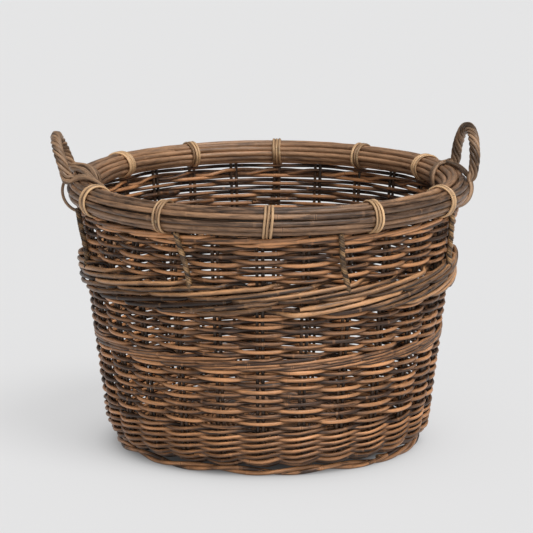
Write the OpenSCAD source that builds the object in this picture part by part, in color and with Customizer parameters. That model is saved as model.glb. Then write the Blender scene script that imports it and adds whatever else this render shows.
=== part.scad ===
// Round wicker log basket. Millimetres, +Z up. The origin is the centre of the base, on the floor.
// The handles stand at +X and -X.

/* [Body] */

// Height of the rim's centre above the floor
rim_height = 428; // [380:1:480]
// Radius of the ring of stakes where the straight wall begins
wall_foot_radius = 265; // [240:1:290]
// Outward slope of the wall, degrees from upright
wall_slope = 7; // [4:0.5:9]
// Height where the straight wall begins
wall_foot_height = 65; // [60:1:75]

/* [Stakes and rods] */

// Diameter of one upright stake
stake_diameter = 5.5; // [4:0.1:5.6]
// Distance between the two stakes of a pair
stake_spacing = 8.4; // [7:0.1:12]
// Turn of the stakes about the basket's axis, degrees
stake_turn = -2.5; // [-6:0.5:6]
// Radius that a stake is bent to at the base edge
stake_bend = 30; // [26:1:32]
// Diameter of a weaving rod in the wall
rod_diameter = 6.6; // [5:0.1:7]
// Height of one row of weaving
row_height = 7.05; // [6.9:0.05:8]

/* [Base] */

// Height of the middle of the base above the floor
base_height = 20; // [18:0.5:22]
// Width of a base stick
base_stick_width = 6.8; // [5:0.1:6.8]
// Thickness of a base stick
base_stick_thickness = 6; // [4:0.1:6]
// Distance between neighbouring base sticks at the cross
base_stick_spacing = 9.6; // [9.5:0.1:10.5]
// Radius where the base weave begins
base_weave_start = 56; // [56:1:70]
// Radius where the base weave ends
base_weave_end = 229; // [200:1:230]

/* [Rim] */

// Diameter of a rim rod
rim_rod_diameter = 9.3; // [7:0.1:9.4]
// Radius of the circle that the rim rods lie on around the core
rim_bundle_radius = 18.6; // [18.4:0.1:20]
// Diameter of a lashing strand
lashing_diameter = 4.8; // [3:0.1:5]

/* [Hoop band] */

// Height of the middle of the hoop band
hoop_height = 300.5; // [292:0.1:306]
// Outer radius of the hoop band
hoop_outer_radius = 319; // [316:0.5:324]
// Diameter of a hoop rod
hoop_rod_diameter = 7.6; // [6:0.1:7.7]

/* [Handles] */

// Thickness of a roped handle
rope_diameter = 18; // [15:0.5:20]
// Diameter of the bow inside the roping
bow_diameter = 8.4; // [7:0.1:8.6]
// Height of the middle of the right handle's arch
right_top = 520; // [510:1:545]
// Height of the middle of the left handle's arch
left_top = 512; // [500:1:530]
// Lean of the right handle away from the basket, degrees
right_lean = 6; // [0:1:12]
// Lean of the left handle away from the basket, degrees
left_lean = 17; // [8:1:20]
// Place of the right handle around the rim, degrees
right_turn = 7; // [0:1:10]

/* [Hidden] */

$fn = 96;
stakes = 26;
split_thickness = 4.5;
step = 360 / stakes;
slope = tan(wall_slope);
channel = stake_diameter + 0.3;
row_offset = channel / 2 + rod_diameter / 2 + 0.2;
wall_core = row_offset + 0.4;
gap = 0.1;
rim_radius = wall_radius(rim_height) - 0.56;
rim_core_radius = 16.5;
rim_outside = rim_bundle_radius + rim_rod_diameter / 2;
rim_under = rim_height - rim_outside;
foot_radius = 247;
foot_round = 7.3;
foot_middle = 6;
band_low = 80;
mid_low = 182;
mid_high = 202;
hoop_low = hoop_height - 24;
hoop_high = hoop_height + 24;
top_low = 391;
top_high = 404;
hoop_rod_radius = hoop_outer_radius - hoop_rod_diameter / 2;
hoop_pitch = 7.8;
bend_centre_r = wall_radius(base_height + stake_bend * (1 - sin(wall_slope))) - stake_bend * cos(wall_slope);
bend_centre_z = base_height + stake_bend;
tie_diameter = 5.2;
ties = 7;
front_ties = 4;
front_tie_step = 47.7;
back_tie_step = 54.3;
first_tie = -19.9;
left_half_width = 60;
right_half_width = 55;
right_twist = 5.5;

willow = [0.42, 0.29, 0.2];
willow_light = [0.58, 0.42, 0.29];
willow_dark = [0.3, 0.2, 0.14];
willow_grey = [0.5, 0.41, 0.34];

function numbered(name, i) = str(name, i < 10 ? "0" : "", i);
function wall_radius(z) = wall_foot_radius + (z - wall_foot_height) * slope;

// ---- base ----

// Plan of a straight length of base stick between two points.
module plan_link(a, b) {
  v = b - a;
  translate(a)
    rotate(atan2(v[1], v[0]))
      translate([0, -base_stick_width / 2])
        square([norm(v), base_stick_width]);
}

// Plan of one base stick: straight across the middle, then fanned out to the base edge on both sides.
module stick_plan(side, bend_at, angle) {
  knee = [bend_at, side];
  fan = 54 * [cos(angle), sin(angle)];
  tip = (base_weave_end - 1) * [cos(angle), sin(angle)];
  plan_link([-bend_at, side], knee);
  for (m = [0, 1])
    mirror([m, 0]) {
      plan_link(knee, fan);
      plan_link(fan, tip);
      translate(knee) circle(d = base_stick_width + 0.6, $fn = 8);
      translate(fan) circle(d = base_stick_width + 0.6, $fn = 8);
    }
}

module base_stick(side, bend_at, angle) {
  translate([0, 0, base_height - base_stick_thickness / 2])
    linear_extrude(base_stick_thickness)
      stick_plan(side, bend_at, angle);
}

module base_sticks_split() {
  block = base_stick_thickness + 2 * split_thickness;
  color(willow_dark)
    for (i = [-3:3]) {
      side = i * base_stick_spacing;
      difference() {
        union() {
          base_stick(side, 36, i * step);
          translate([0, side, base_height])
            cube([69, base_stick_spacing - 0.4, block], center = true);
        }
        translate([0, side, base_height])
          cube([60, base_stick_spacing + 1, base_stick_thickness + 0.4], center = true);
      }
    }
}

module base_sticks_through() {
  color(willow)
    rotate([0, 0, 90])
      for (i = [-2.5:2.5])
        base_stick(i * base_stick_spacing, 40, i * step);
}

// Rows of weaving above and below the base sticks, which run through between them with the stake ends.
module base_weave() {
  pitch = 7.4;
  rod = 6.4;
  rows = floor((base_weave_end - base_weave_start) / pitch);
  inner = max(base_stick_thickness, stake_diameter) / 2 + 0.1;
  middle = inner + rod / 2 + 0.1;
  color(willow)
    translate([0, 0, base_height])
      for (s = [-1, 1])
        rotate_extrude()
          scale([1, s])
            union() {
              translate([base_weave_start, inner])
                square([base_weave_end - base_weave_start, middle - inner + 0.4]);
              for (i = [0:rows - 1])
                translate([base_weave_start + pitch * (i + 0.5), middle])
                  circle(d = rod);
            }
}

module foot_ring() {
  color(willow_dark)
    rotate_extrude()
      intersection() {
        translate([foot_radius, foot_middle]) circle(r = foot_round);
        translate([foot_radius - 20, 0]) square([40, 30]);
      }
}

// ---- stakes ----

module stake() {
  top = rim_height - 6;
  straight = (top - base_height - stake_bend * (1 - sin(wall_slope))) / cos(wall_slope);
  translate([base_weave_end - 28, 0, base_height])
    rotate([0, 90, 0])
      cylinder(h = bend_centre_r - base_weave_end + 28, d = stake_diameter);
  translate([bend_centre_r, 0, bend_centre_z])
    rotate([90, 0, 0])
      rotate([0, 0, -90])
        rotate_extrude(angle = 90 - wall_slope)
          translate([stake_bend, 0]) circle(d = stake_diameter);
  translate([bend_centre_r, 0, bend_centre_z])
    rotate([0, wall_slope, 0])
      translate([stake_bend, 0, 0]) {
        cylinder(h = straight, d = stake_diameter);
        sphere(d = stake_diameter + 0.2);
      }
  translate([bend_centre_r, 0, base_height]) sphere(d = stake_diameter + 0.2);
}

module stake_pair(i) {
  color(willow_dark)
    rotate([0, 0, stake_turn + (i - 0.5) * step])
      for (s = [-1, 1])
        translate([0, s * stake_spacing / 2, 0]) stake();
}

// ---- wall ----

// One field of the wall: a ring of rows in front of the stakes and a ring of rows behind them.
module field(low, high, rod = rod_diameter, bulge = 0) {
  a = low + gap;
  b = high - gap;
  rows = floor((high - low) / row_height);
  pitch = (b - a) / rows;
  for (s = [-1, 1]) {
    middle = s * row_offset + (s > 0 ? bulge : 0);
    rotate_extrude()
      union() {
        polygon([
          [wall_radius(a) + s * channel / 2, a],
          [wall_radius(a) + middle + s * 0.4, a],
          [wall_radius(b) + middle + s * 0.4, b],
          [wall_radius(b) + s * channel / 2, b]
        ]);
        for (i = [0:rows - 1])
          translate([wall_radius(a + pitch * (i + 0.5)) + middle, a + pitch * (i + 0.5)])
            circle(d = rod);
      }
  }
}

// The bottom band's outer strands, which wrap the outside of the bent stakes.
module bottom_band_outer() {
  clear = stake_bend + channel / 2 + 0.1;
  inner = [for (a = [-90:12:-18]) [bend_centre_r + clear * cos(a), bend_centre_z + clear * sin(a)]];
  last = band_low - gap;
  color(willow)
    rotate_extrude()
      union() {
        polygon(concat(
          [[bend_centre_r, 14.4], [254, 14.4]],
          [[263.5, 33], [wall_radius(47) + 5.6, 47], [wall_radius(last) + wall_core, last]],
          [[wall_radius(last) + channel / 2 + 0.2, last], [wall_radius(48) + channel / 2 + 0.2, 48]],
          [for (i = [len(inner) - 1:-1:0]) inner[i]]
        ));
        for (i = [0:3])
          translate([253.4 + 17.5 * sin(i * 13), 18.2 + i * 7.3]) circle(d = 6.8);
        for (i = [1:5])
          translate([wall_radius(last - 7.2 * (i - 0.5)) + row_offset, last - 7.2 * (i - 0.5)])
            circle(d = 6.8);
      }
}

// The bottom band's inner strands, in the corner between the wall and the base.
module bottom_band_inner() {
  clear = stake_bend - channel / 2 - 0.1;
  last = band_low - gap;
  corner = [for (a = [-82:12:-10]) [bend_centre_r + clear * cos(a), bend_centre_z + clear * sin(a)]];
  color(willow)
    rotate_extrude()
      union() {
        polygon(concat(
          corner,
          [[wall_radius(50) - channel / 2 - 0.3, 50]],
          [[wall_radius(last) - channel / 2 - 0.3, last], [wall_radius(last) - wall_core, last]],
          [[wall_radius(62) - wall_core, 62], [251.5, 47], [247, 38], [236.7, 31]]
        ));
        for (i = [0:3])
          translate([240 + 18 * sin(i * 14), 32.5 + i * 7.2]) circle(d = 7.6);
        for (i = [1:3])
          translate([wall_radius(last - 7.2 * (i - 0.5)) - row_offset, last - 7.2 * (i - 0.5)])
            circle(d = 6.8);
      }
}

module lower_weave() {
  color(willow) field(band_low, mid_low);
}

module mid_band() {
  color(willow_light) field(mid_low, mid_high, 6.6, 3);
}

module middle_weave() {
  color(willow) field(mid_high, hoop_low);
}

module upper_weave() {
  color(willow) field(hoop_high, top_low);
}

module top_band() {
  color(willow_dark) field(top_low, top_high, 6, 0.3);
}

// The wall inside the hoop band: a grooved ring in front of the stakes and a ring of rows behind them.
module hoop_wall() {
  low = hoop_low + gap;
  high = hoop_high - gap;
  face = hoop_rod_radius - 0.5;
  color(willow_dark) {
    rotate_extrude()
      difference() {
        polygon([
          [wall_radius(low) + channel / 2, low],
          [face, low],
          [face, high],
          [wall_radius(high) + channel / 2, high]
        ]);
        for (i = [-3:2])
          translate([hoop_rod_radius, hoop_row(i)]) circle(d = hoop_rod_diameter + 0.2);
      }
    rotate_extrude()
      union() {
        polygon([
          [wall_radius(low) - channel / 2, low],
          [wall_radius(low) - wall_core, low],
          [wall_radius(high) - wall_core, high],
          [wall_radius(high) - channel / 2, high]
        ]);
        for (i = [0:5])
          translate([wall_radius(hoop_low + 8 * (i + 0.5)) - row_offset - 0.2, hoop_low + 8 * (i + 0.5)])
            circle(d = 7);
      }
  }
}

function hoop_row(i) = hoop_height + (i + 0.5) * hoop_pitch + (i < 0 ? -0.3 : 0.3);

module hoop_rods(first) {
  color(willow_light)
    for (i = [first:first + 2])
      rotate_extrude()
        translate([hoop_rod_radius, hoop_row(i)]) circle(d = hoop_rod_diameter);
}

// ---- rim ----

function rim_spot(i) = [
  rim_radius + rim_bundle_radius * cos(i * 30),
  rim_height + rim_bundle_radius * sin(i * 30)
];

module rim_core() {
  color(willow_dark)
    difference() {
      rotate_extrude()
        difference() {
          translate([rim_radius, rim_height]) circle(r = rim_core_radius);
          for (i = [-2:8])
            translate(rim_spot(i)) circle(d = rim_rod_diameter + 0.2);
        }
      for (i = [0:stakes - 1])
        for (s = [-1, 1])
          rotate([0, 0, stake_turn + (i + 0.5) * step])
            translate([wall_radius(rim_height - 40), s * stake_spacing / 2, rim_height - 40])
              rotate([0, wall_slope, 0])
                cylinder(h = 35.5 / cos(wall_slope), d = channel);
    }
}

module rim_rods(first, last) {
  color(willow)
    for (i = [first:last])
      rotate_extrude()
        translate(rim_spot(i)) circle(d = rim_rod_diameter);
}

// One turn of a strand around the whole rim bundle.
module rim_turn(angle, side) {
  rotate([0, 0, angle])
    translate([rim_radius, side, rim_height])
      rotate([90, 0, 0])
        rotate_extrude()
          translate([rim_outside + lashing_diameter / 2 + 0.4, 0]) circle(d = lashing_diameter);
}

module rim_lashings() {
  color(willow_light)
    for (i = [-2:2])
      for (k = [-1:1]) {
        rim_turn(-90 + 32 * i, k * (lashing_diameter + 0.2));
        rim_turn(87 + 28.5 * i, k * (lashing_diameter + 0.2));
      }
}

// ---- ties ----

// The ties at the front are a little closer together than those at the back.
function tie_angle(i) =
  first_tie - front_tie_step * (min(i, front_ties) - 1) - back_tie_step * max(i - front_ties, 0);

module tie(i) {
  low = hoop_high + 1;
  high = rim_under - 1;
  away = row_offset + rod_diameter / 2 + tie_diameter / 2 + 0.3;
  color(willow)
    rotate([0, 0, tie_angle(i)])
      for (s = [-1, 1])
        translate([wall_radius(low) + away, s * (tie_diameter / 2 + 0.05), low])
          rotate([0, wall_slope, 0])
            cylinder(h = (high - low) / cos(wall_slope), d = tie_diameter);
}

// ---- handles ----

// Moves a handle, drawn standing in the YZ plane with its arch centred on Z, to its place.
module place(side) {
  if (side > 0)
    rotate([0, 0, right_turn])
      translate([326.7, 0, rim_height])
        rotate([0, 0, right_twist])
          rotate([0, right_lean, 0])
            children();
  else
    mirror([1, 0, 0])
      translate([332.5, 0, rim_height])
        rotate([0, left_lean * 0.5, 0])
          children();
}

function half_width(side) = side > 0 ? right_half_width : left_half_width;
function arch_height(side) = (side > 0 ? right_top : left_top) - rim_height - half_width(side);

// The bow's near leg passes outside the rim. Its far leg stops on top of it.
module bow(side) {
  w = half_width(side);
  h = arch_height(side);
  near_foot = -14;
  far_foot = side > 0 ? 26.5 : -14;
  color(willow_grey)
    place(side) {
      translate([0, 0, h])
        rotate([90, 0, 90])
          rotate_extrude(angle = 180)
            translate([w, 0]) circle(d = bow_diameter);
      translate([0, -w, near_foot]) cylinder(h = h - near_foot, d = bow_diameter);
      translate([0, w, far_foot]) cylinder(h = h - far_foot, d = bow_diameter);
    }
}

// The roping as one sleeve around the bow, from its foot on the rim over the arch and down again.
module roping(side) {
  w = half_width(side);
  h = arch_height(side);
  near_foot = 24;
  far_foot = side > 0 ? 31 : 24;
  color(willow_grey)
    place(side) {
      translate([0, 0, h])
        rotate([90, 0, 90])
          rotate_extrude(angle = 180)
            translate([w, 0]) rope_section();
      if (h > near_foot)
        translate([0, -w, near_foot]) linear_extrude(h - near_foot) rope_section();
      if (h > far_foot)
        translate([0, w, far_foot]) linear_extrude(h - far_foot) rope_section();
    }
}

module rope_section() {
  difference() {
    circle(d = rope_diameter);
    circle(d = bow_diameter + 0.2);
  }
}

// Strands that bind the handle's feet to the rim, on both sides of each foot.
module bindings(side) {
  turn = side > 0 ? right_turn : 180;
  spread = side > 0 ? 9.5 : 10.25;
  color(willow_light)
    for (foot = [-1, 1])
      for (k = [-1, 1])
        rim_turn(turn + foot * spread, k * (bow_diameter + lashing_diameter + 2.2) / 2);
}

// ---- nodes ----

base_sticks_split();
base_sticks_through();
base_weave();
foot_ring();
for (i = [1:stakes])
  stake_pair(i);
bottom_band_outer();
bottom_band_inner();
lower_weave();
mid_band();
middle_weave();
hoop_wall();
hoop_rods(0);  // hoop_rods_upper
hoop_rods(-3);  // hoop_rods_lower
upper_weave();
top_band();
rim_core();
rim_rods(2, 4);  // rim_rods_top
rim_rods(-1, 1);  // rim_rods_outer
union() {  // rim_rods_under
  rim_rods(-2, -2);
  rim_rods(8, 8);
}
rim_rods(5, 7);  // rim_rods_inner
rim_lashings();
for (i = [1:ties])
  tie(i);
bow(-1);  // handle_bow_left
bow(1);  // handle_bow_right
roping(-1);  // handle_roping_left
roping(1);  // handle_roping_right
bindings(-1);  // handle_bindings_left
bindings(1);  // handle_bindings_right
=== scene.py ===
import math
import bpy
import numpy as np
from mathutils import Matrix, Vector


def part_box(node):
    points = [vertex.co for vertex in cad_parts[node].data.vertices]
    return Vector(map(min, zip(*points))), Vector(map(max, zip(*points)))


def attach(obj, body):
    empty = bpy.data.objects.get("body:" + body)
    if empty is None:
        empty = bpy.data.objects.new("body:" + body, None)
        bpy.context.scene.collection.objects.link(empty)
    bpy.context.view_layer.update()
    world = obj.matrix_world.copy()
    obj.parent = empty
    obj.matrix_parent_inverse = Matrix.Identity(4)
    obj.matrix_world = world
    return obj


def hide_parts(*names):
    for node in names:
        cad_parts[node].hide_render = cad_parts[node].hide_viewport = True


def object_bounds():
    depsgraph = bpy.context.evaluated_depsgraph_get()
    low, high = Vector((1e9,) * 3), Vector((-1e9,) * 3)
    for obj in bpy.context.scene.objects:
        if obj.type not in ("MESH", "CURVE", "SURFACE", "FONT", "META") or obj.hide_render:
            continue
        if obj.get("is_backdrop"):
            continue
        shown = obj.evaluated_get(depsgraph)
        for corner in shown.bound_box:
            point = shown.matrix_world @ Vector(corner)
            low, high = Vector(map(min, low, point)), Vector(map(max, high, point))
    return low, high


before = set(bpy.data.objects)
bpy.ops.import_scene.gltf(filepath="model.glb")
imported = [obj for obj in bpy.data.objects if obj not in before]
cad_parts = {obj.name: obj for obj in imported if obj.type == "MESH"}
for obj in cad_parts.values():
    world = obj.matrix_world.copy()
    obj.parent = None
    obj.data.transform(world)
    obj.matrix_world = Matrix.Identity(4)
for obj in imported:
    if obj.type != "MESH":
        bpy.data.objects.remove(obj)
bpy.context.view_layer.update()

# Lengths are in millimetres until Rods.make turns them into metres. All through the script,
# t is an angle round the basket, s a length along a stake from the start of its bend, and
# depth a distance outwards from the stakes' centre line.

# ---------------------------------------------------------------- sizes from the frame
MM = 0.001
TURN = 2 * math.pi
STAKES = 26
HALF_STAKES = STAKES // 2
STEP = TURN / STAKES

foot_low, foot_high = (v * 1000 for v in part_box("foot_ring"))
weave_low, weave_high = (v * 1000 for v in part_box("base_weave"))
lower_low, lower_high = (v * 1000 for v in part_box("lower_weave"))
mid_low, mid_high = (v * 1000 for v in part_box("mid_band"))
hoop_low, hoop_high = (v * 1000 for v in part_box("hoop_wall"))
upper_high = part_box("upper_weave")[1] * 1000
top_low, top_high = (v * 1000 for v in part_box("top_band"))
core_low, core_high = (v * 1000 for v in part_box("rim_core"))
rim_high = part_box("rim_rods_outer")[1] * 1000
right_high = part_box("handle_roping_right")[1] * 1000
left_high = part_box("handle_roping_left")[1] * 1000

SLOPE = (upper_high.x - lower_high.x) / (upper_high.z - lower_high.z)
TILT = math.atan(SLOPE)
WALL_INSET = 9.7  # from the widest edge of the CAD's rings in to the stakes
RING_EDGE = 3.6  # from the top of such a ring down to its widest edge
BASE_Z = (weave_low.z + weave_high.z) / 2
MID_Z = (mid_low.z + mid_high.z) / 2
HOOP_Z = (hoop_low.z + hoop_high.z) / 2
RIM_Z = (core_low.z + core_high.z) / 2
RIM_BUNDLE = 18.6  # from the middle of the rim bundle to the middle of its outer rods
RIM_ROD = 4.65
RIM_SKIN = RIM_BUNDLE + RIM_ROD
RIM_R = rim_high.x - RIM_BUNDLE - RIM_ROD


def wall(z):
    """Radius of the stakes' centre line at height z on the straight part of the wall."""
    return lower_high.x - WALL_INSET + (z - lower_high.z + RING_EDGE) * SLOPE


BEND = 30.0  # radius of the stakes' bend at the edge of the base
BEND_R = wall(BASE_Z + BEND * (1 - math.sin(TILT))) - BEND * math.cos(TILT)
BEND_Z = BASE_Z + BEND
BEND_ARC = BEND * (math.pi / 2 - TILT)
BEND_TOP = BEND_Z - BEND * math.sin(TILT)


def up(z):
    """Length along a stake from the start of its bend to height z."""
    return BEND_ARC + (z - BEND_TOP) / math.cos(TILT)


def stake_line(s):
    """Radius, height and tangent (outwards, upwards) of a stake's centre line at length s."""
    s = np.asarray(s, float)
    a = np.clip(s, 0, BEND_ARC) / BEND - math.pi / 2
    over = np.maximum(s - BEND_ARC, 0)
    under = np.minimum(s, 0)
    r = BEND_R + BEND * np.cos(a) + over * math.sin(TILT) + under
    z = BEND_Z + BEND * np.sin(a) + over * math.cos(TILT)
    return r, z, -np.sin(a), np.cos(a)


# ---------------------------------------------------------------- paths
def around(t, r, z):
    """Points at angle t, radius r and height z."""
    return np.stack([r * np.cos(t), r * np.sin(t), z], 1)


def on_wall(t, s, depth):
    """Points at angle t and length s along the stakes, and a depth outside their centre line."""
    r, z, out, rise = stake_line(s)
    return around(t, r + rise * depth, z - out * depth)


def smooth(x):
    """A soft step from 0 to 1."""
    x = np.clip(x, 0, 1)
    return x * x * (3 - 2 * x)


def near_ends(t, reach, run):
    """1 at both ends of a rod and 0 between; reach is how far in it lasts, run how soft it is."""
    return smooth((t[0] + reach - t) / run) + smooth((t - t[-1] + reach) / run)


def wobble(rng, t, amount, period):
    """Smooth random change along t."""
    x = (t - t.min()) / period
    knots = rng.normal(0, amount, int(x.max()) + 3)
    i = x.astype(int)
    f = x - i
    f = f * f * (3 - 2 * f)
    return knots[i] * (1 - f) + knots[i + 1] * f


def unit(rows):
    """Each row at length 1."""
    return rows / np.linalg.norm(rows, axis=1)[:, None]


def gaps(path):
    """Distance from each point of a path to the next."""
    return np.linalg.norm(np.diff(path, axis=0), axis=1)


def distances(path):
    """Distance of each point from the start of a path."""
    return np.concatenate([[0], np.cumsum(gaps(path))])


def carry(side, tangent, direction, rows):
    """Fill rows of side with a direction square to the path, carried along it without a twist."""
    for i in rows:
        direction = direction - tangent[i] * (direction @ tangent[i])
        direction /= np.linalg.norm(direction)
        side[i] = direction


# ---------------------------------------------------------------- rods
KNOT_SWELL, KNOT_LENGTH = 0.07, 1.8
THICKNESS_WOBBLE, THICKNESS_PERIOD = 0.035, 22
BARK_SHIFT = 40  # each rod takes its bark from another place in the pattern
UNDERSIDE_SHADE = 0.42  # painted shade: how far the face mark drops on a rod's underside, which comes out darker and less warm than its top
CUT_DOME, CUT_RIM = 0.12, 0.55  # a cut end: its rise at the middle, and its inner ring of points
NO_KNOT = 50.0


class Rods:
    """Rods gathered into one piece.

    Each point has its place on the bark, its rod's tone, its distance to the nearest knot, how
    far it faces outwards (0 tucked away or underneath, 1 in front), which sets painted shade and
    painted highlight on its bark, and whether it's on a cut end.
    """

    MARKS = ("tone", "knot", "face", "cut")

    def __init__(self, name, slot, nodes, sides=8):
        self.name, self.slot, self.nodes, self.sides = name, slot, nodes, sides
        self.points, self.faces, self.bark = [], [], []
        self.marks = {mark: [] for mark in self.MARKS}
        self.count = 0

    def keep(self, points, bark, *marks):
        """Add points and their marks. Returns the number of the first of them."""
        first = self.count
        self.points.append(points)
        self.bark.append(bark)
        for mark, values in zip(self.MARKS, marks):
            self.marks[mark].append(np.broadcast_to(values, len(points)))
        self.count += len(points)
        return first

    def add(self, rng, path, radius, tone=None, face=0.0, flat=1.0, knots=(55, 120), normal=None):
        """Sweep a round section along a path.

        face is one number, or for each point of the path how far the rod lies in front (1) or
        behind (-1). knots is the shortest and longest gap between knots. A section that is
        pressed flat needs its normal at each point.
        """
        n, k = len(path), self.sides
        tangent = unit(np.gradient(path, axis=0))
        along = distances(path)
        spots = [rng.uniform(5, knots[1])]
        while spots[-1] < along[-1]:
            spots.append(spots[-1] + rng.uniform(*knots))
        knot = np.abs(along[:, None] - np.array(spots)[None]).min(1)
        swell = 1 + KNOT_SWELL * np.exp(-((knot / KNOT_LENGTH) ** 2))
        radius = np.broadcast_to(np.asarray(radius, float), (n,)) * swell
        radius = radius * (1 + wobble(rng, along, THICKNESS_WOBBLE, THICKNESS_PERIOD))
        side = np.zeros((n, 3))
        if normal is None:
            steep = abs(tangent[0][2]) >= 0.8
            carry(side, tangent, np.array([1.0, 0, 0] if steep else [0, 0, 1.0]), range(n))
        else:
            side = unit(normal - tangent * (normal * tangent).sum(1)[:, None])
        other = np.cross(tangent, side)
        ang = np.arange(k) * TURN / k
        ring = (
            path[:, None]
            + radius[:, None, None] * flat * np.cos(ang)[None, :, None] * side[:, None]
            + radius[:, None, None] * np.sin(ang)[None, :, None] * other[:, None]
        )
        shift = rng.uniform(0, BARK_SHIFT)
        tone = rng.uniform(0, 1) if tone is None else tone
        face = np.asarray(face, float)
        # The face mark sets painted shade and highlight: high on the side of a rod that faces away
        # from the stakes, low on the side towards them and on its underside.
        if normal is None and face.shape == (n,):
            face = 0.5 + 0.5 * face[:, None] * np.sin(ang)
            face = face - UNDERSIDE_SHADE * np.maximum(-np.cos(ang), 0)
        face = np.clip(np.broadcast_to(face, (n, k)), 0, 1)
        bark = np.stack(
            [
                np.repeat(along * MM + shift, k),
                np.tile(np.cos(ang), n) + shift * 3.1,
                np.tile(np.sin(ang), n) + shift * 1.7,
            ],
            1,
        )
        base = self.keep(ring.reshape(-1, 3), bark, tone, np.repeat(knot, k), face.ravel(), 0.0)
        i, j = np.meshgrid(np.arange(n - 1), np.arange(k), indexing="ij")
        a = base + i * k + j
        b = base + i * k + (j + 1) % k
        self.faces.append(np.stack([a, b, b + k, a + k], -1).reshape(-1, 4))
        first_faces = self.close(path[0], ring[0], -tangent[0] * radius[0], bark[:k], tone)
        last_faces = self.close(path[-1], ring[-1], tangent[-1] * radius[-1], bark[:k], tone)
        self.faces += [block[:, ::-1] for block in first_faces] + last_faces

    def close(self, middle, rim, outwards, bark, tone):
        """A slightly domed cut end, with its own points so that its edge stays sharp.

        Returns its faces, which look the right way at the last end of a path.
        """
        k = self.sides
        centre = middle + outwards * CUT_DOME
        inner = centre + (rim - centre) * CUT_RIM
        points = np.concatenate([rim, inner, centre[None]])
        base = self.keep(points, np.concatenate([bark, bark, bark[:1]]), tone, NO_KNOT, 0.0, 1.0)
        j = np.arange(k)
        following = (j + 1) % k
        edge = np.stack([base + j, base + following, base + k + following, base + k + j], 1)
        fan = np.stack([base + k + j, base + k + following, np.full(k, base + 2 * k)], 1)
        return [edge, fan]

    def make(self, material):
        """Make the mesh, and put it on the basket's only body in place of its CAD nodes."""
        points = np.concatenate(self.points) * MM
        faces = [tuple(face) for block in self.faces for face in block.tolist()]
        mesh = bpy.data.meshes.new(self.name)
        mesh.from_pydata(points.tolist(), [], faces)
        layer = mesh.attributes.new("bark", "FLOAT_VECTOR", "POINT")
        layer.data.foreach_set("vector", np.concatenate(self.bark).astype(np.float32).ravel())
        for mark, rows in self.marks.items():
            layer = mesh.attributes.new(mark, "FLOAT", "POINT")
            layer.data.foreach_set("value", np.concatenate(rows).astype(np.float32))
        mesh.polygons.foreach_set("use_smooth", [True] * len(faces))
        mesh.materials.append(material)
        mesh.update()
        piece = bpy.data.objects.new(self.name, mesh)
        bpy.context.scene.collection.objects.link(piece)
        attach(piece, "root")
        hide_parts(*self.nodes)


# ---------------------------------------------------------------- materials
def linear(r, g, b):
    """A colour that is given in sRGB, 0 to 255."""
    shades = (((c / 255 + 0.055) / 1.055) ** 2.4 if c > 10 else c / 255 / 12.92 for c in (r, g, b))
    return tuple(shades) + (1.0,)


def scaled(colour, factor):
    """An sRGB colour made darker or lighter."""
    return linear(*(min(255, int(c * factor)) for c in colour))


def level(value):
    """A linear grey."""
    return (value, value, value, 1)


class Nodes:
    """A new material, with short ways to add nodes to it."""

    def __init__(self, name):
        self.material = bpy.data.materials.new(name)
        self.material.use_nodes = True
        self.tree = self.material.node_tree
        self.shader = self.tree.nodes["Principled BSDF"]

    def set(self, socket, value):
        """Give a socket a plain value, or link it to an output."""
        if isinstance(value, bpy.types.NodeSocket):
            self.tree.links.new(value, socket)
        else:
            socket.default_value = value

    def add(self, kind, **values):
        made = self.tree.nodes.new("ShaderNode" + kind)
        for key, value in values.items():
            setattr(made, key, value)
        return made

    def attribute(self, which, output="Fac"):
        return self.add("Attribute", attribute_name=which).outputs[output]

    def math(self, operation, *values, clamp=False):
        made = self.add("Math", operation=operation, use_clamp=clamp)
        for socket, value in zip(made.inputs, values):
            self.set(socket, value)
        return made.outputs[0]

    def plus(self, a, b, clamp=False):
        return self.math("ADD", a, b, clamp=clamp)

    def minus(self, a, b):
        return self.math("SUBTRACT", a, b)

    def times(self, a, b, clamp=False):
        return self.math("MULTIPLY", a, b, clamp=clamp)

    def mix(self, factor, a, b, mode="MIX"):
        """Colour a with that much of colour b over it."""
        made = self.add("Mix", data_type="RGBA", blend_type=mode)
        for socket, value in ((0, factor), (6, a), (7, b)):
            self.set(made.inputs[socket], value)
        return made.outputs[2]

    def spread(self, value, low=0.0, high=1.0, start=0.0, end=1.0):
        """Stretch low ... high to start ... end, and hold it there."""
        made = self.add("MapRange")
        names = ("Value", "From Min", "From Max", "To Min", "To Max")
        for name, given in zip(names, (value, low, high, start, end)):
            self.set(made.inputs[name], given)
        return made.outputs["Result"]

    def noise(self, place, **values):
        made = self.add("TexNoise")
        if place is not None:
            self.set(made.inputs["Vector"], place)
        for name, value in values.items():
            self.set(made.inputs[name], value)
        return made.outputs["Fac"]

    def ramp(self, value, *stops, interpolation="LINEAR"):
        """Colours at places between 0 and 1."""
        made = self.add("ValToRGB")
        ramp = made.color_ramp
        ramp.interpolation = interpolation
        for step, stop in ((ramp.elements[0], stops[0]), (ramp.elements[1], stops[-1])):
            step.position, step.color = stop
        for place, colour in stops[1:-1]:
            ramp.elements.new(place).color = colour
        self.set(made.inputs["Fac"], value)
        return made.outputs["Color"]

    def bump(self, height, strength, distance):
        made = self.add("Bump")
        self.set(made.inputs["Strength"], strength)
        self.set(made.inputs["Distance"], distance)
        self.set(made.inputs["Height"], height)
        return made.outputs["Normal"]


# How often the bark's patterns change: along a rod, in cycles a metre, and round it.
STREAKS = (38, 1.3, 1.3)
PATCHES = (14, 0.5, 0.5)
SILVER = (9, 0.9, 0.9)
FINE = (160, 4.5, 4.5)
# How much each thing adds to the warm colour (wear from patches, tone and streaks, and a painted
# highlight from the face mark), and the tone above which a rod wears warmer.
WORN_PATCHES, FACE_HIGHLIGHT, WORN_TONE, WORN_STREAKS = 0.5, 0.42, 0.95, 0.5
WORN_FROM = 0.6
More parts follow.
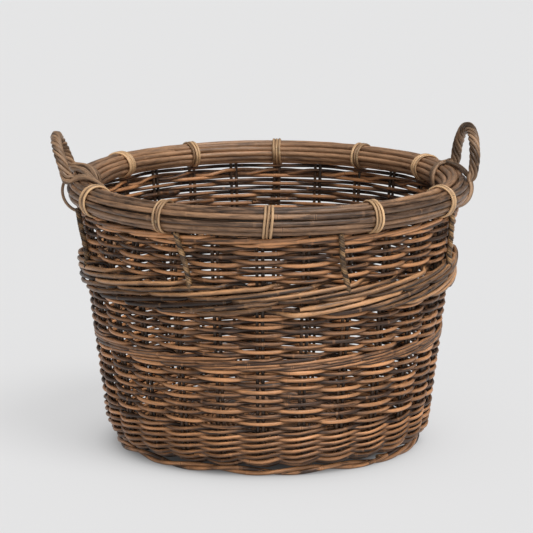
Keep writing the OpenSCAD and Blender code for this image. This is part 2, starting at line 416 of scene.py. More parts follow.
# How strongly each layer covers the one below.
SILVER_COVER, FINE_COVER, DIRT_COVER = 0.75, 0.35, 0.55
COLLAR_COVER, RING_COVER, SHADE_COVER, TUCKED_SHADE_COVER = 0.25, 0.75, 0.45, 0.72
SHADE_STRIDE = 7.3  # turns a rod's tone into another number, for rods that are dark all over
CUT_WOOD = (150, 118, 84)
BARK_BUMP, BARK_DEPTH = 0.5, 0.0011


def bark_material(name, dark, mid, warm, grey, warmth, rough=0.44):
    """Willow bark: streaks along the rod, rings at its knots, warmer wood where it wears, a
    painted highlight where a rod faces out, and painted shade where it's tucked away or
    underneath.
    """
    m = Nodes(name)

    def pattern(stretch, detail):
        place = m.add("VectorMath", operation="MULTIPLY")
        m.set(place.inputs[0], m.attribute("bark", "Vector"))
        m.set(place.inputs[1], stretch)
        return m.noise(place.outputs[0], Scale=1.0, Detail=detail, Roughness=0.55)

    tone, face, knot, cut = (m.attribute(mark) for mark in ("tone", "face", "knot", "cut"))
    streaks = pattern(STREAKS, 5.0)
    patches = pattern(PATCHES, 3.0)
    fine = pattern(FINE, 4.0)
    streaky = m.spread(streaks, 0.3, 0.7)

    # Wear from patches, tone and streaks, plus a painted highlight from the face mark.
    wear_and_highlight = m.plus(m.times(m.spread(patches, 0.36, 0.66), WORN_PATCHES), m.times(face, FACE_HIGHLIGHT))
    wear_and_highlight = m.plus(wear_and_highlight, m.times(m.minus(tone, WORN_FROM), WORN_TONE))
    wear_and_highlight = m.plus(wear_and_highlight, m.times(m.minus(streaky, 0.5), WORN_STREAKS), clamp=True)
    wear_and_highlight = m.times(wear_and_highlight, warmth * 2, clamp=True)

    colour = m.mix(m.spread(streaks, 0.32, 0.62), linear(*dark), linear(*mid))
    silver = m.times(m.spread(pattern(SILVER, 3.0), 0.48, 0.72), SILVER_COVER)
    colour = m.mix(silver, colour, linear(*grey))
    colour = m.mix(wear_and_highlight, colour, linear(*warm))
    creamy = m.mix(0.55, colour, linear(255, 235, 205), "MULTIPLY")
    colour = m.mix(m.times(m.spread(fine, 0.5, 0.75), FINE_COVER), colour, creamy)
    dirt = m.times(m.spread(fine, 0.46, 0.25), DIRT_COVER)
    colour = m.mix(dirt, colour, scaled(dark, 0.55))

    beside_knot = m.times(m.spread(knot, 2.8, 1.2), m.spread(knot, 0.5, 1.0))
    colour = m.mix(m.times(beside_knot, COLLAR_COVER), colour, scaled(warm, 1.1))
    ring = m.times(m.spread(knot, 0.9, 0.3), RING_COVER)
    colour = m.mix(ring, colour, scaled(dark, 0.6))

    shade = m.times(m.math("FRACT", m.times(tone, SHADE_STRIDE)), SHADE_COVER)
    colour = m.mix(shade, colour, m.mix(1.0, colour, linear(176, 172, 168), "MULTIPLY"))
    # Painted shade: darker where the face mark is low, on rods tucked away and on undersides.
    tucked = m.times(m.spread(face, 0.65, 0.05), TUCKED_SHADE_COVER)
    colour = m.mix(tucked, colour, m.mix(1.0, colour, linear(140, 136, 134), "MULTIPLY"))
    wood = m.mix(m.spread(fine, 0.3, 0.7), scaled(CUT_WOOD, 0.62), linear(*CUT_WOOD))
    m.set(m.shader.inputs["Base Color"], m.mix(cut, colour, wood))

    gloss = m.plus(m.times(streaky, 0.16), rough - 0.08)
    m.set(m.shader.inputs["Roughness"], m.plus(gloss, m.times(wear_and_highlight, -0.06)))
    m.set(m.shader.inputs["Specular IOR Level"], 0.45)
    height = m.plus(m.times(streaks, 0.6), m.times(fine, 0.5))
    height = m.minus(height, m.times(ring, 0.35))
    m.set(m.shader.inputs["Normal"], m.bump(height, BARK_BUMP, BARK_DEPTH))
    return m.material


willow = bark_material(
    "willow_weave",
    dark=(32, 17, 8), mid=(86, 57, 37), warm=(230, 166, 114), grey=(98, 80, 67), warmth=0.5,
)
willow_stake = bark_material(
    "willow_stake",
    dark=(46, 31, 21), mid=(98, 72, 52), warm=(158, 116, 82), grey=(98, 84, 72), warmth=0.45,
)
willow_rim = bark_material(
    "willow_rim",
    dark=(56, 38, 25), mid=(118, 89, 67), warm=(214, 166, 126), grey=(132, 111, 94), warmth=0.5,
)
# The weave's bark with a lighter warm colour: a painted highlight on the hoop band.
willow_hoop = bark_material(
    "willow_hoop",
    dark=(32, 17, 9), mid=(84, 58, 40), warm=(236, 178, 126), grey=(98, 81, 68), warmth=0.52,
)
willow_lash = bark_material(
    "willow_lash",
    dark=(58, 38, 24), mid=(152, 114, 82), warm=(252, 208, 158), grey=(156, 130, 104),
    warmth=0.55, rough=0.42,
)
willow_handle = bark_material(
    "willow_handle",
    dark=(46, 31, 20), mid=(104, 80, 60), warm=(198, 160, 126), grey=(128, 110, 94), warmth=0.47,
)
willow_tie = bark_material(
    "willow_tie",
    dark=(36, 24, 15), mid=(92, 68, 47), warm=(200, 158, 110), grey=(98, 81, 66), warmth=0.5,
)

# ---------------------------------------------------------------- stakes
STAKE_TURN = math.radians(-2.5)
STAKE_ROD, STAKE_SPREAD = 2.75, (0.93, 1.07)
STAKE_START = -30  # the stakes begin beside the base sticks, this far inside their bend
STAKE_END = up(RIM_Z - 6)
STAKE_LEAN = 0.003  # a pair's lean round the basket, in radians over LEAN_LENGTH
LEAN_LENGTH = 400
PAIR_OFFSET = 4.2  # from the middle of a pair to each of its rods
STAKE_WOBBLE, STAKE_POINTS = (0.5, 90), 90

rng = np.random.default_rng(11)
stake_angles = STAKE_TURN + (np.arange(STAKES) + 0.5) * STEP
stake_nodes = sorted(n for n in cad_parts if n.startswith("stake_pair"))
for half in range(2):
    mine = slice(half * HALF_STAKES, (half + 1) * HALF_STAKES)
    rods = Rods("stakes_%d" % (half + 1), "stake_rod", stake_nodes[mine])
    for angle in stake_angles[mine]:
        lean = rng.normal(0, STAKE_LEAN)
        for side in (-1, 1):
            s = np.linspace(STAKE_START, STAKE_END, STAKE_POINTS)
            r, z = stake_line(s)[:2]
            offset = side * PAIR_OFFSET + wobble(rng, s, *STAKE_WOBBLE)
            t = angle + lean * s / LEAN_LENGTH + offset / r
            # face is left at 0, so the stakes take the strongest painted shade of tucked rods.
            rods.add(rng, around(t, r, z), STAKE_ROD * rng.uniform(*STAKE_SPREAD))
    rods.make(willow_stake)

# ---------------------------------------------------------------- weaving
WEAVER = 3.25
WEAVER_SPREAD = (0.95, 1.06)
WEAVE_DEPTH = 6.0  # how far a weaver swings out and in from the stakes' centre line
WEAVE_SHAPE = 0.75  # below 1 a weaver turns faster behind and in front of the stakes
GOLDEN = 0.618  # spreads the tones of neighbouring rows
# The ends of rods: how far a rod laps over its own start (in radians), over what part of that
# it's tucked in and how softly, and how far in. A randing row also ends a little higher.
ROW_LAP, ROW_TUCK, ROW_TUCK_DEPTH = 0.16, (0.13, 0.1), 4.5
ROW_CLIMB, ROW_CLIMB_RUN = 1.5, 0.14
WALE_LAP, WALE_TUCK, WALE_TUCK_DEPTH = 0.1, (0.09, 0.08), 3.5
WALE_GAP = 1.02  # stakes between the starts of two of its rods
ROW_THICK, WALE_THICK, TAPER = 1.09, 1.08, 0.18  # the butt of a rod, and how much it thins
# Unevenness, each with the angle over which it changes.
ROW_IN_OUT, ROW_UP_DOWN, ROW_WANDER = (0.45, STEP), (0.4, STEP), (0.35, 0.9)
WALE_IN_OUT, WALE_UP_DOWN = (0.35, STEP), (0.3, STEP)
ROW_POINTS, WALE_POINTS = 440, 460


def cycle(t, stakes_long, phase):
    """Place in a rod's cycle, which is that many stakes long and starts behind a stake."""
    return (t - stake_angles[0]) / STEP / stakes_long + phase


def randing(rods, rng, s, phase, radius, tone=None):
    """One row that goes in front of one stake pair and behind the next."""
    start = rng.uniform(0, TURN)
    t = np.linspace(start, start + TURN + ROW_LAP, ROW_POINTS)
    swing = np.cos(TURN * (cycle(t, 2, 0) + phase))
    swing = np.sign(swing) * np.abs(swing) ** WEAVE_SHAPE
    depth = WEAVE_DEPTH * swing + wobble(rng, t, *ROW_IN_OUT)
    depth = depth - near_ends(t, *ROW_TUCK) * ROW_TUCK_DEPTH
    rise = wobble(rng, t, *ROW_UP_DOWN) + wobble(rng, t, *ROW_WANDER)
    rise = rise + smooth((t - t[-1] + ROW_LAP) / ROW_CLIMB_RUN) * ROW_CLIMB
    taper = ROW_THICK - TAPER * (t - start) / TURN
    rods.add(rng, on_wall(t, s + rise, depth), radius * taper, tone, swing)


def pairing_swing(u, climb):
    """How far out (1) or in (-1), and how high, a rod of two lies at place u of its cycle."""
    return -np.cos(TURN * u), -climb * np.sin(TURN * u)


def waling_swing(u, length, climb, sharp):
    """The same for a rod of three or more, which climbs in front and drops behind a stake."""
    near = np.minimum(u, 1 - u) * length
    out = -1 + 2 * smooth((near - 0.12) / (0.62 / sharp))
    high = climb * (2 * smooth((u - 0.25 / length) / (1 - 0.5 / length)) - 1)
    behind = np.where(u > 0.5, 1 - u, -u) * length / 0.3
    return out, np.where(np.abs(behind) < 1, climb * np.sin(behind * math.pi / 2), high)


def wale(rods, rng, s, length, radius, climb, outer, inner,
         turn=0.0, bulge=0.0, sharp=1.0, tones=None):
    """Rods that pass in front of length-1 stakes and behind one, each over the one before.

    outer and inner are how far they swing out and in, and bulge how far their middle stands out.
    """
    start = rng.uniform(0, TURN)
    for j in range(length):
        t0 = start + j * STEP * WALE_GAP
        t = np.linspace(t0, t0 + TURN + WALE_LAP, WALE_POINTS)
        u = np.mod(cycle(t, length, j / length + turn), 1.0)
        if length == 2:
            out, high = pairing_swing(u, climb)
        else:
            out, high = waling_swing(u, length, climb, sharp)
        depth = np.where(out > 0, out * outer, out * inner)
        depth = depth + bulge * np.maximum(out, 0) * np.sin(math.pi * u)
        depth = depth + wobble(rng, t, *WALE_IN_OUT)
        depth = depth - near_ends(t, *WALE_TUCK) * WALE_TUCK_DEPTH
        place = on_wall(t, s + high + wobble(rng, t, *WALE_UP_DOWN), depth)
        taper = WALE_THICK - TAPER * (t - t0) / TURN
        rods.add(rng, place, radius * taper, tones and tones[j], out)


def zone(name, slot, nodes, material, seed, rows, per_piece, weave):
    """Rows of one weave, a few rows to a piece."""
    rng = np.random.default_rng(seed)
    for n, first in enumerate(range(0, len(rows), per_piece)):
        piece = Rods("%s_%d" % (name, n + 1), slot, nodes)
        for i in range(first, min(first + per_piece, len(rows))):
            weave(piece, rng, rows[i], i)
        piece.make(material)


def rows_between(low, high, pitch):
    """Even rows between two heights, about a pitch apart."""
    count = max(1, round((high - low) / pitch))
    return [up(low + (high - low) * (i + 0.5) / count) for i in range(count)]


def field_row(piece, rng, s, i):
    radius = WEAVER * rng.uniform(*WEAVER_SPREAD)
    randing(piece, rng, s, 0.5 * (i % 2), radius, (0.31 + GOLDEN * i) % 1)


def backing_row(piece, rng, s, i):
    randing(piece, rng, s, 0.5 * (i % 2), 2.9, (0.2 + GOLDEN * i) % 1)


def bottom_row(piece, rng, s, i):
    radius = 3.0 * rng.uniform(0.94, 1.07)
    wale(piece, rng, s, 2, radius, climb=2.5, outer=5.9, inner=5.9)


def mid_row(piece, rng, s, i):
    wale(piece, rng, s, 3, 2.95, climb=4.7, outer=6.4, inner=5.8, turn=0.37 * i,
         tones=(0.3, 0.62, 0.14))


def hoop_row(piece, rng, s, i):
    wale(piece, rng, s, 4, 3.75, climb=12.0, outer=12.0, inner=7.0, turn=0.3 * i,
         bulge=5.0, sharp=0.9)


def top_row(piece, rng, s, i):
    if i:
        randing(piece, rng, s, 0.5, 2.9)
    else:
        wale(piece, rng, s, 3, 3.3, climb=3.6, outer=6.6, inner=5.8, turn=0.2)


BOTTOM_START = -5.0  # the lowest row lies just inside the stakes' bend
BOTTOM_ROWS = 9
bottom_run = up(lower_low.z - 4.5) - BOTTOM_START
bottom_rows = [BOTTOM_START + bottom_run * i / (BOTTOM_ROWS - 1) for i in range(BOTTOM_ROWS)]
lower_rows = rows_between(lower_low.z + 1, mid_low.z, 6.95)
middle_rows = rows_between(mid_high.z + 1, hoop_low.z + 2, 6.75)
upper_rows = rows_between(hoop_high.z + 2, top_low.z + 2, 6.6)
mid_rows = [up(MID_Z - 4.6), up(MID_Z + 4.6)]
top_rows = [up((top_low.z + top_high.z) / 2), up(top_high.z + 3.6)]
hoop_rows = [up(HOOP_Z - 12.5), up(HOOP_Z + 11)]
backing_rows = rows_between(hoop_low.z + 2, hoop_high.z - 2, 6.9)

BOTTOM_NODES = ["bottom_band_outer", "bottom_band_inner"]
HOOP_NODES = ["hoop_wall", "hoop_rods_lower", "hoop_rods_upper"]
zone("bottom_band", "weaving_rod", BOTTOM_NODES, willow, 21, bottom_rows, 3, bottom_row)
zone("lower_weave", "weaving_rod", ["lower_weave"], willow, 22, lower_rows, 4, field_row)
zone("middle_weave", "weaving_rod", ["middle_weave"], willow, 23, middle_rows, 4, field_row)
zone("upper_weave", "weaving_rod", ["upper_weave"], willow, 24, upper_rows, 4, field_row)
zone("mid_band", "weaving_rod", ["mid_band"], willow, 25, mid_rows, 2, mid_row)
zone("top_band", "weaving_rod", ["top_band"], willow, 26, top_rows, 2, top_row)
zone("hoop_band", "hoop_rod", HOOP_NODES, willow_hoop, 27, hoop_rows, 1, hoop_row)
zone("hoop_backing", "weaving_rod", ["hoop_wall"], willow, 28, backing_rows, 4, backing_row)

# ---------------------------------------------------------------- foot and base
FOOT_RODS, FOOT_ROD = 3, 3.6
FOOT_INSET, FOOT_MIDDLE = 7.0, 7.7  # of the twist: in from the ring's edge, up from the floor
FOOT_SWING, FOOT_RISE, FOOT_LAP = 2.8, 4.0, 0.08

rng = np.random.default_rng(31)
foot_r = (foot_high.x - foot_low.x) / 2 - FOOT_INSET
foot = Rods("foot_ring_rods", "base_stick", ["foot_ring"])
for j in range(FOOT_RODS):
    t0 = rng.uniform(0, 6)
    t = np.linspace(t0, t0 + TURN + FOOT_LAP, WALE_POINTS)
    u = TURN * cycle(t, FOOT_RODS, j / FOOT_RODS)
    z = foot_low.z + FOOT_MIDDLE - FOOT_RISE * np.sin(u)
    path = around(t, foot_r - FOOT_SWING * np.cos(u), z)
    # The face mark runs low here: painted shade on the foot rods, which lie by the floor.
    foot.add(rng, path, FOOT_ROD, None, 0.2 - 0.4 * np.cos(u))
foot.make(willow)

BASE_START, BASE_PITCH, BASE_INSET = 58.0, 8.6, 6
BASE_SWING, BASE_RISE, BASE_LAP, BASE_WOBBLE = 2.6, 5.6, 0.1, (0.4, 0.3)
BASE_THIN, BASE_THICK, BASE_THIN_WITHIN = 2.3, 2.9, 90
BASE_ROWS_PER_PIECE, BASE_POINTS = 5, 300

rng = np.random.default_rng(32)
rings = list(np.arange(BASE_START, -weave_low.x - BASE_INSET, BASE_PITCH))
for n, first in enumerate(range(0, len(rings), BASE_ROWS_PER_PIECE)):
    rods = Rods("base_weave_%d" % (n + 1), "weaving_rod", ["base_weave"], sides=7)
    for ring_r in rings[first:first + BASE_ROWS_PER_PIECE]:
        for j in range(2):
            t0 = rng.uniform(0, 6)
            t = np.linspace(t0, t0 + TURN + BASE_LAP, BASE_POINTS)
            u = TURN * (t / STEP / 2 + 0.5 * j + 0.25)
            r = ring_r + BASE_SWING * np.cos(u) + wobble(rng, t, *BASE_WOBBLE)
            thick = BASE_THIN if ring_r < BASE_THIN_WITHIN else BASE_THICK
            # A low face mark of 0.25: painted shade over the base.
            rods.add(rng, around(t, r, BASE_Z + BASE_RISE * np.sin(u)), thick, None, 0.25)
    rods.make(willow)

# ---------------------------------------------------------------- rim
# A place on the rim bundle: t round the basket, beta round the bundle (0 outwards, a quarter
# turn upwards), and rho from the middle of the bundle.
RIM_PRESSED = 0.17  # how much flatter the bundle is at the back
RIM_LIFT = 3.9  # and how much higher its middle lies there
RIM_ROD_SPREAD = (0.93, 1.05)
RIM_LAP = 0.09  # how far a rod runs past the next one's start
RIM_TUCK, RIM_TUCK_DEPTH, RIM_TUCK_THIN = (0.12, 0.12), 2.5, 0.18
RIM_THICK, RIM_TAPER = 1.08, 0.2
RIM_SPACING = 0.012  # radians between the points of a rod
RIM_KNOTS = (70, 190)
RIM_WANDER, RIM_IN_OUT = (0.05, 0.5), (0.5, 0.45)
CORE_RODS, CORE_ROD, CORE_RHO, CORE_LAP, CORE_TURN = 7, 4.7, 9.6, 0.1, 0.3


def rim_z(t, dz):
    """Height dz above the middle of the bundle, which is pressed flatter at the back."""
    back = smooth((np.sin(t) - 0.15) / 0.45)
    return RIM_Z + dz * (1 - RIM_PRESSED * back) + RIM_LIFT * back


def rim_point(t, beta, rho):
    return around(t, RIM_R + rho * np.cos(beta), rim_z(t, rho * np.sin(beta)))


def rim_rod(rods, rng, start, span, beta, rho, radius, drift):
    """A rod that lies along the bundle, and drifts round it."""
    t = np.linspace(start, start + span, int(span / RIM_SPACING))
    ends = near_ends(t, *RIM_TUCK)
    b = beta + drift * (t - start) + wobble(rng, t, *RIM_WANDER)
    d = rho + wobble(rng, t, *RIM_IN_OUT) - ends * RIM_TUCK_DEPTH
    taper = RIM_THICK - RIM_TAPER * (t - start) / span
    size = radius * taper * (1 - RIM_TUCK_THIN * ends)
    rods.add(rng, rim_point(t, b, d), size, None, 0.45, knots=RIM_KNOTS)


# Which twelfths of the bundle each group's rods lie on.
rim_groups = {
    "rim_rods_outer": [-1, 0, 1],
    "rim_rods_top": [2, 3, 4],
    "rim_rods_inner": [5, 6, 7],
    "rim_rods_under": [8, -2],
}
rng = np.random.default_rng(41)
for name, twelfths in rim_groups.items():
    rods = Rods("%s_bark" % name, "rim_rod", [name], sides=10)
    for twelfth in twelfths:
        start = rng.uniform(0, TURN)
        first_part = rng.uniform(0.42, 0.58) * TURN
        beta = math.radians(twelfth * 30)
        for t0, part in ((start, first_part), (start + first_part, TURN - first_part)):
            radius = RIM_ROD * rng.uniform(*RIM_ROD_SPREAD)
            drift = rng.normal(0, 0.02)
            rim_rod(rods, rng, t0 - RIM_LAP, part + 2 * RIM_LAP, beta, RIM_BUNDLE, radius, drift)
    rods.make(willow_rim)
rods = Rods("rim_core_rods", "rim_rod", ["rim_core"], sides=8)
for k in range(CORE_RODS):
    start = rng.uniform(0, TURN)
    beta = k * math.pi / 3 + CORE_TURN
    rho = 0.0 if k == CORE_RODS - 1 else CORE_RHO
    rim_rod(rods, rng, start, TURN + CORE_LAP, beta, rho, CORE_ROD, 0.0)
rods.make(willow_stake)

# ---------------------------------------------------------------- lashings
LASH_ROD, LASH_SPREAD, LASH_FLAT = 2.15, (0.93, 1.07), 0.85
LASH_START = -1.9  # a strand's ends meet low on the inside of the rim
LASH_LIFT, LASH_PACKING, LASH_LAP, LASH_POINTS = 1.9, 1.04, 1.02, 72
LASH_SHIFT, LASH_WAVER, LASH_IN_OUT = 0.3, (0.25, 0.8), (0.25, 0.5)
LASH_KNOTS = (60, 160)
FRONT_LASHES, FRONT_LASH_STEP = -90, 32
BACK_LASHES, BACK_LASH_STEP = 87, 28.5


def lashing(rods, rng, angle, strands, width=4.6, slant=0.0, reach=0.0):
    """Strands of split rod wound side by side round the rim."""
    for k in range(strands):
        b = np.linspace(LASH_START, LASH_START + TURN * LASH_LAP, LASH_POINTS)
        place = (k - (strands - 1) / 2) * width * LASH_PACKING
        across = place + slant * np.sin(b) + rng.normal(0, LASH_SHIFT)
        across = across + wobble(rng, b, *LASH_WAVER)
        rho = RIM_SKIN + LASH_LIFT + reach + wobble(rng, b, *LASH_IN_OUT)
        t = angle + across / RIM_R
        path = rim_point(t, b, rho)
        middle = rim_point(t, b, np.zeros(len(b)))
        radius = LASH_ROD * rng.uniform(*LASH_SPREAD)
        rods.add(rng, path, radius, None, 0.8, LASH_FLAT, knots=LASH_KNOTS, normal=path - middle)


rng = np.random.default_rng(42)
for half, (first, step) in enumerate(
    ((FRONT_LASHES, FRONT_LASH_STEP), (BACK_LASHES, BACK_LASH_STEP))
):
    rods = Rods("rim_lashings_%d" % (half + 1), "lashing", ["rim_lashings"], sides=8)
    for i in range(-2, 3):
        strands = 3 + int(rng.uniform(0, 1.6))
        width = 5.2 if strands == 3 else 4.5
        angle = math.radians(first + step * i)
        lashing(rods, rng, angle, strands, width, slant=rng.normal(1.0, 0.8))
    rods.make(willow_lash)

# ---------------------------------------------------------------- ties
TIE_STRANDS, TIE_STRAND, TIE_TWIST, TIE_LAY = 4, 1.85, 2.9, 15.0
TIE_DEPTH, TIE_OVER_HOOP = 14.0, 3.0
TIE_IN_OUT, TIE_BOW_WOBBLE, TIE_BOW = (0.5, 30), (1.4, 45), (7, 10)
TIE_POINTS, TIE_KNOTS = 150, (30, 80)

rng = np.random.default_rng(51)
tie_nodes = sorted(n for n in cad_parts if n.startswith("tie_"))
for n in tie_nodes:
    low, high = (v * 1000 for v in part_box(n))
    angle = math.atan2(low.y + high.y, low.x + high.x)
    rods = Rods(n + "_rope", "tie_rod", [n], sides=7)
    z = np.linspace(HOOP_Z + 14, RIM_Z - RIM_BUNDLE - 2, TIE_POINTS)
    s = up(z)
    middle = TIE_DEPTH + TIE_OVER_HOOP * smooth((HOOP_Z + 32 - z) / 22)
    middle = middle + wobble(rng, z, *TIE_IN_OUT)
    bow = wobble(rng, z, *TIE_BOW_WOBBLE)
    bow = bow + rng.uniform(*TIE_BOW) * (1 - 2 * (z - z[0]) / (z[-1] - z[0]))
    for j in range(TIE_STRANDS):
        turn = -TURN * (z / TIE_LAY + j / TIE_STRANDS)
        t = angle + (bow + TIE_TWIST * np.sin(turn)) / stake_line(s)[0]
        path = on_wall(t, s, middle + TIE_TWIST * np.cos(turn))
        rods.add(rng, path, TIE_STRAND, None, np.cos(turn), knots=TIE_KNOTS)
    rods.make(willow_tie)

# ---------------------------------------------------------------- handles
HANDLE_STRANDS, HANDLE_STRAND, HANDLE_SPREAD = 6, 2.95, (0.95, 1.06)
HANDLE_TWIST = 6.35  # from the middle of the rope to the middle of a strand
HANDLE_LAY = 62.0
HANDLE_CORE = 3.2
HANDLE_TOP = 9.5  # from the top of the CAD's roping down to the middle of the rope
HANDLE_FOOT = 22  # the foot of a bow above the middle of the rim
HANDLE_KNOTS = (50, 110)
UNTWIST = 34  # over this length a rope opens out into its tail
GRIP = RIM_SKIN + 5.4


def resample(points, gap=3.0, rounds=3):
    """A smooth even path through points."""
    p = np.array(points, float)
    for _ in range(rounds):
        corners = [p[0]]
        for a, b in zip(p[:-1], p[1:]):
            corners += [a * 0.75 + b * 0.25, a * 0.25 + b * 0.75]
        p = np.array(corners + [p[-1]])
    along = distances(p)
    x = np.linspace(0, along[-1], max(6, int(along[-1] / gap)))
    return np.stack([np.interp(x, along, p[:, i]) for i in range(3)], 1)


def rim_track(from_t, to_t, from_beta, to_beta, rho, count=14):
    """A path over the rim bundle, from angles in degrees to angles in degrees."""
    t0, t1, b0, b1 = (math.radians(a) for a in (from_t, to_t, from_beta, to_beta))
    k = np.linspace(0, 1, count)
    return rim_point(t0 + (t1 - t0) * smooth(k), b0 + (b1 - b0) * k, np.full(count, rho))


def rim_away(points):
    """Middle of the rim beside each point, and the point's direction and distance from it."""
    t = np.arctan2(points[:, 1], points[:, 0])
    middle = around(t, np.full(len(t), RIM_R), np.full(len(t), RIM_Z))
    away = points - middle
    size = np.linalg.norm(away, axis=1)
    return middle, away / size[:, None], size


def bow_line(centre, along, upward, half, top):
    """Two straight legs and a half circle between them."""
    leg = (top - HANDLE_TOP - centre[2]) / upward[2] - half
    line = [centre - along * half + upward * k for k in np.linspace(0, leg, 4)]
    line += [
        centre + upward * leg + along * half * -math.cos(a) + upward * half * math.sin(a)
        for a in np.linspace(0, math.pi, 25)[1:-1]
    ]
    return line + [centre + along * half + upward * k for k in np.linspace(leg, 0, 5)]


def handle(name, nodes, centre, along, facing, lean, half, top,
           near_tails, far_tails, pinch, loose=None):
    """A twisted rope loop: strands wound round a bow, whose tails flatten out and grip the rim.

    along points from the near leg to the far one, and facing the way the loop leans. pinch is
    how much of its width the rope keeps in the near and the far tail.
    """
    lean = math.radians(lean)
    lean_out = math.sin(lean)
    upward = np.array([lean_out * facing[0], lean_out * facing[1], math.cos(lean)])
    along = np.array([along[0], along[1], 0.0])
    out = np.cross(along, upward)
    legs = bow_line(centre, along, upward, half, top)
    rods = Rods(name, "handle_rod", nodes, sides=9)
    for j in range(HANDLE_STRANDS):
        near_tail = near_tails[j * len(near_tails) // HANDLE_STRANDS]
        far = j * len(far_tails) // HANDLE_STRANDS
        far_tail = far_tails[far]
        # The second far tail leaves the bow one point before its foot.
        points = list(near_tail[::-1]) + legs[:len(legs) - far] + list(far_tail)
        line = resample(points, 2.5, 2)
        tangent = unit(np.gradient(line, axis=0))
        along_line = distances(line)
        first = gaps(near_tail).sum()
        last = along_line[-1] - gaps(far_tail).sum()
        loosened = np.maximum(
            1 - smooth((along_line - first + 4) / UNTWIST),
            smooth((along_line - last + 30) / UNTWIST),
        )
        apex = int(np.argmax(line[:, 2]))
        side = np.zeros_like(line)
        carry(side, tangent, out, range(apex, len(line)))
        carry(side, tangent, out, range(apex, -1, -1))
        other = np.cross(tangent, side)
        paced = np.cumsum(np.diff(along_line) * (1 - 0.8 * loosened[1:]))
        pace = np.concatenate([[0], paced])
        turn = -TURN * ((pace - pace[apex]) / HANDLE_LAY + j / HANDLE_STRANDS)
        twist = HANDLE_TWIST + wobble(rng, along_line, 0.25, 40)
        offset = (np.cos(turn) * twist)[:, None] * side + (np.sin(turn) * twist)[:, None] * other
        # In the tails the strands lie side by side on the rim.
        _, away, _ = rim_away(line)
        inward = (offset * away).sum(1)[:, None] * away
        width = np.where(along_line < along_line[apex], pinch[0], pinch[1])[:, None]
        offset = offset - loosened[:, None] * (0.7 * inward + (1 - width) * (offset - inward))
        middle, away, size = rim_away(line + offset)
        path = middle + away * np.maximum(size, RIM_SKIN + 2.6)[:, None]
        for _ in range(2):
            path[1:-1] = (path[:-2] + 2 * path[1:-1] + path[2:]) / 4
        cut = int(rng.uniform(0, 4))
        radius = HANDLE_STRAND * rng.uniform(*HANDLE_SPREAD)
        rods.add(rng, path[cut:len(path) - cut], radius, None, 0.8, knots=HANDLE_KNOTS)
    if loose is not None:
        rods.add(rng, resample(loose, 3.0, 2), 2.6, None, 0.6, knots=HANDLE_KNOTS)
    # face 0: painted shade on the core, which lies inside the rope.
    rods.add(rng, resample(legs, 2.5, 2), HANDLE_CORE, 0.3, 0.0)
    rods.make(willow_handle)


RIGHT_ANGLE, RIGHT_TURN, RIGHT_R = math.radians(7), math.radians(7 + 5.5), 328.5
LEFT_R = 328.0
rng = np.random.default_rng(61)
handle(
    "handle_right_rope",
    ["handle_roping_right", "handle_bow_right"],
    centre=np.array([
        RIGHT_R * math.cos(RIGHT_ANGLE), RIGHT_R * math.sin(RIGHT_ANGLE), RIM_Z + HANDLE_FOOT,
    ]),
    along=(-math.sin(RIGHT_TURN), math.cos(RIGHT_TURN)),
    facing=(math.cos(RIGHT_TURN), math.sin(RIGHT_TURN)),
    lean=6,
    half=55,
    top=right_high.z,
    near_tails=[rim_track(-2.4, -6.5, 34, -95, GRIP - 2.5)],
    far_tails=[
        rim_track(16.6, 13.6, 84, 225, GRIP - 2),
        rim_track(14.0, -1.5, 82, 30, GRIP - 1.5),
    ],
    pinch=(0.95, 1.05),
)
handle(
    "handle_left_rope",
    ["handle_roping_left", "handle_bow_left"],
    centre=np.array([-LEFT_R, 0.0, RIM_Z + HANDLE_FOOT]),
    along=(0.0, 1.0),
    facing=(-1.0, 0.0),
    lean=19.5,
    half=56,
    top=left_high.z,
    near_tails=[
        rim_track(190.6, 202.5, 62, 200, GRIP - 1.5),
        rim_track(191.8, 204.5, 40, 192, GRIP - 1.5),
    ],
    far_tails=[
        rim_track(173.0, 188.0, 88, 195, GRIP - 2),
        rim_track(176.5, 197.0, 78, 190, GRIP - 3),
    ],
    pinch=(1.8, 1.5),
    loose=rim_track(187.0, 191.0, 50, -95, GRIP + 3),
)
rng = np.random.default_rng(62)
for name, nodes, degrees, slant in (
    ("handle_binding_right", ["handle_bindings_right"], 15.0, 3.0),
    ("handle_binding_left", ["handle_bindings_left"], 170.5, 4.0),
):
    rods = Rods(name, "handle_rod", nodes, sides=8)
    lashing(rods, rng, math.radians(degrees), 3, slant=slant, reach=0.6)
    rods.make(willow_handle)


# ---------------------------------------------------------------- base sticks
def stick_material():
    """Whittled sticks: plain wood with a fine grain."""
    m = Nodes("base_stick_bark")
    coords = m.add("TexCoord").outputs["Object"]
    grain = m.noise(coords, Scale=90.0, Detail=6.0)
    colour = m.ramp(grain, (0.35, linear(58, 41, 30)), (0.68, linear(128, 92, 62)))
    m.set(m.shader.inputs["Base Color"], colour)
    m.set(m.shader.inputs["Roughness"], m.spread(grain, start=0.5, end=0.7))
    m.set(m.shader.inputs["Normal"], m.bump(grain, 1.0, 0.0006))
    return m.material


stick_bark = stick_material()
for name in ("base_sticks_split", "base_sticks_through"):
    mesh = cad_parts[name].data
    mesh.materials.clear()
    mesh.materials.append(stick_bark)

# ---------------------------------------------------------------- floor, light and camera
FLOOR_SIZE = 60
PAINTED_SHADOW_CENTRE, GLOW_REACH = (-0.012, -0.006, 0.0), 0.5
# The floor's glow, from nothing under the basket to the level of the photograph's backdrop.
# Its low values are a painted shadow round and under the basket.
GLOW_AND_PAINTED_SHADOW = (
    (0.42, 0.0), (0.47, 0.22), (0.51, 0.42), (0.56, 0.53), (0.64, 0.575), (0.76, 0.592),
    (1.0, 0.6),
)


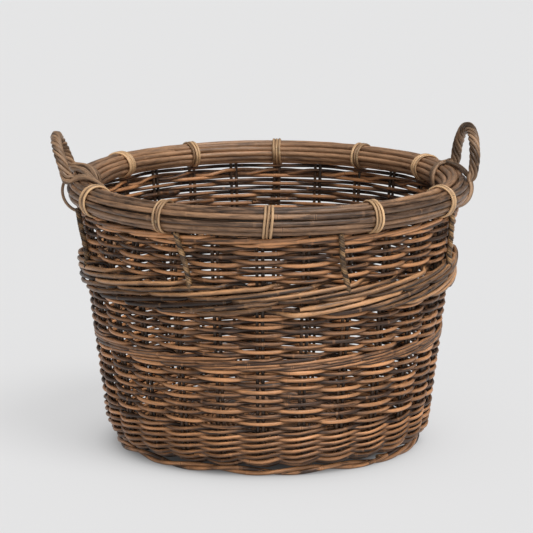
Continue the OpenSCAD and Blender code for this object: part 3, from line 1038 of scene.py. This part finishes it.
def floor_material():
    """Pale studio paper, which glows a little away from the basket and fades to a painted soft
    shadow round and under it.
    """
    m = Nodes("studio_paper")
    grain = m.noise(None, Scale=0.6)
    albedo = m.ramp(grain, (0.0, (0.19, 0.19, 0.191, 1)), (1.0, (0.21, 0.21, 0.211, 1)))
    m.set(m.shader.inputs["Base Color"], albedo)
    away = m.add("VectorMath", operation="DISTANCE")
    m.set(away.inputs[0], m.add("TexCoord").outputs["Object"])
    m.set(away.inputs[1], PAINTED_SHADOW_CENTRE)
    reach = m.spread(away.outputs["Value"], high=GLOW_REACH)
    glow = m.ramp(reach, *((at, level(value)) for at, value in GLOW_AND_PAINTED_SHADOW), interpolation="B_SPLINE")
    m.set(m.shader.inputs["Emission Strength"], glow)
    tint = m.ramp(grain, (0.0, (0.99, 0.99, 1.0, 1)), (1.0, level(1)))
    m.set(m.shader.inputs["Emission Color"], tint)
    m.set(m.shader.inputs["Roughness"], 0.9)
    m.set(m.shader.inputs["Specular IOR Level"], 0.1)
    return m.material


bpy.ops.mesh.primitive_plane_add(size=FLOOR_SIZE, location=(0, 0, 0))
floor = bpy.context.object
floor.name = "studio_floor"
floor.data.materials.append(floor_material())
floor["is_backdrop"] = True

world = bpy.data.worlds.new("studio")
bpy.context.scene.world = world
world.use_nodes = True
world.node_tree.nodes["Background"].inputs["Color"].default_value = (1.0, 1.0, 1.0, 1)
world.node_tree.nodes["Background"].inputs["Strength"].default_value = 0.26


def sun(name, power, spread, azimuth, elevation):
    """Soft light from far away; azimuth 0 comes from the camera's side, 90 from the right."""
    lamp = bpy.data.lights.new(name, "SUN")
    lamp.energy = power
    lamp.angle = math.radians(spread)
    made = bpy.data.objects.new(name, lamp)
    bpy.context.scene.collection.objects.link(made)
    a, e = math.radians(azimuth), math.radians(elevation)
    back = Vector((math.sin(a) * math.cos(e), -math.cos(a) * math.cos(e), math.sin(e)))
    made.rotation_mode = "QUATERNION"
    made.rotation_quaternion = back.to_track_quat("Z", "Y")
    made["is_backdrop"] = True


sun("key", power=1.75, spread=26, azimuth=42, elevation=62)
sun("fill", power=0.98, spread=70, azimuth=16, elevation=32)

CAMERA_TILT, CAMERA_DISTANCE = math.radians(11.8), 5.9
CAMERA_AIM = Vector((-0.0025, 0, 0.292))
camera = bpy.data.cameras.new("camera")
camera.lens = 240
camera.sensor_width = 36
camera.clip_start, camera.clip_end = 0.1, 200
view = bpy.data.objects.new("camera", camera)
bpy.context.scene.collection.objects.link(view)
bpy.context.scene.camera = view
back = Vector((0, -math.cos(CAMERA_TILT), math.sin(CAMERA_TILT)))
view.location = CAMERA_AIM + back * CAMERA_DISTANCE
view.rotation_mode = "QUATERNION"
view.rotation_quaternion = (-back).to_track_quat("-Z", "Y")
bpy.context.scene.view_settings.view_transform = "Standard"

low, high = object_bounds()
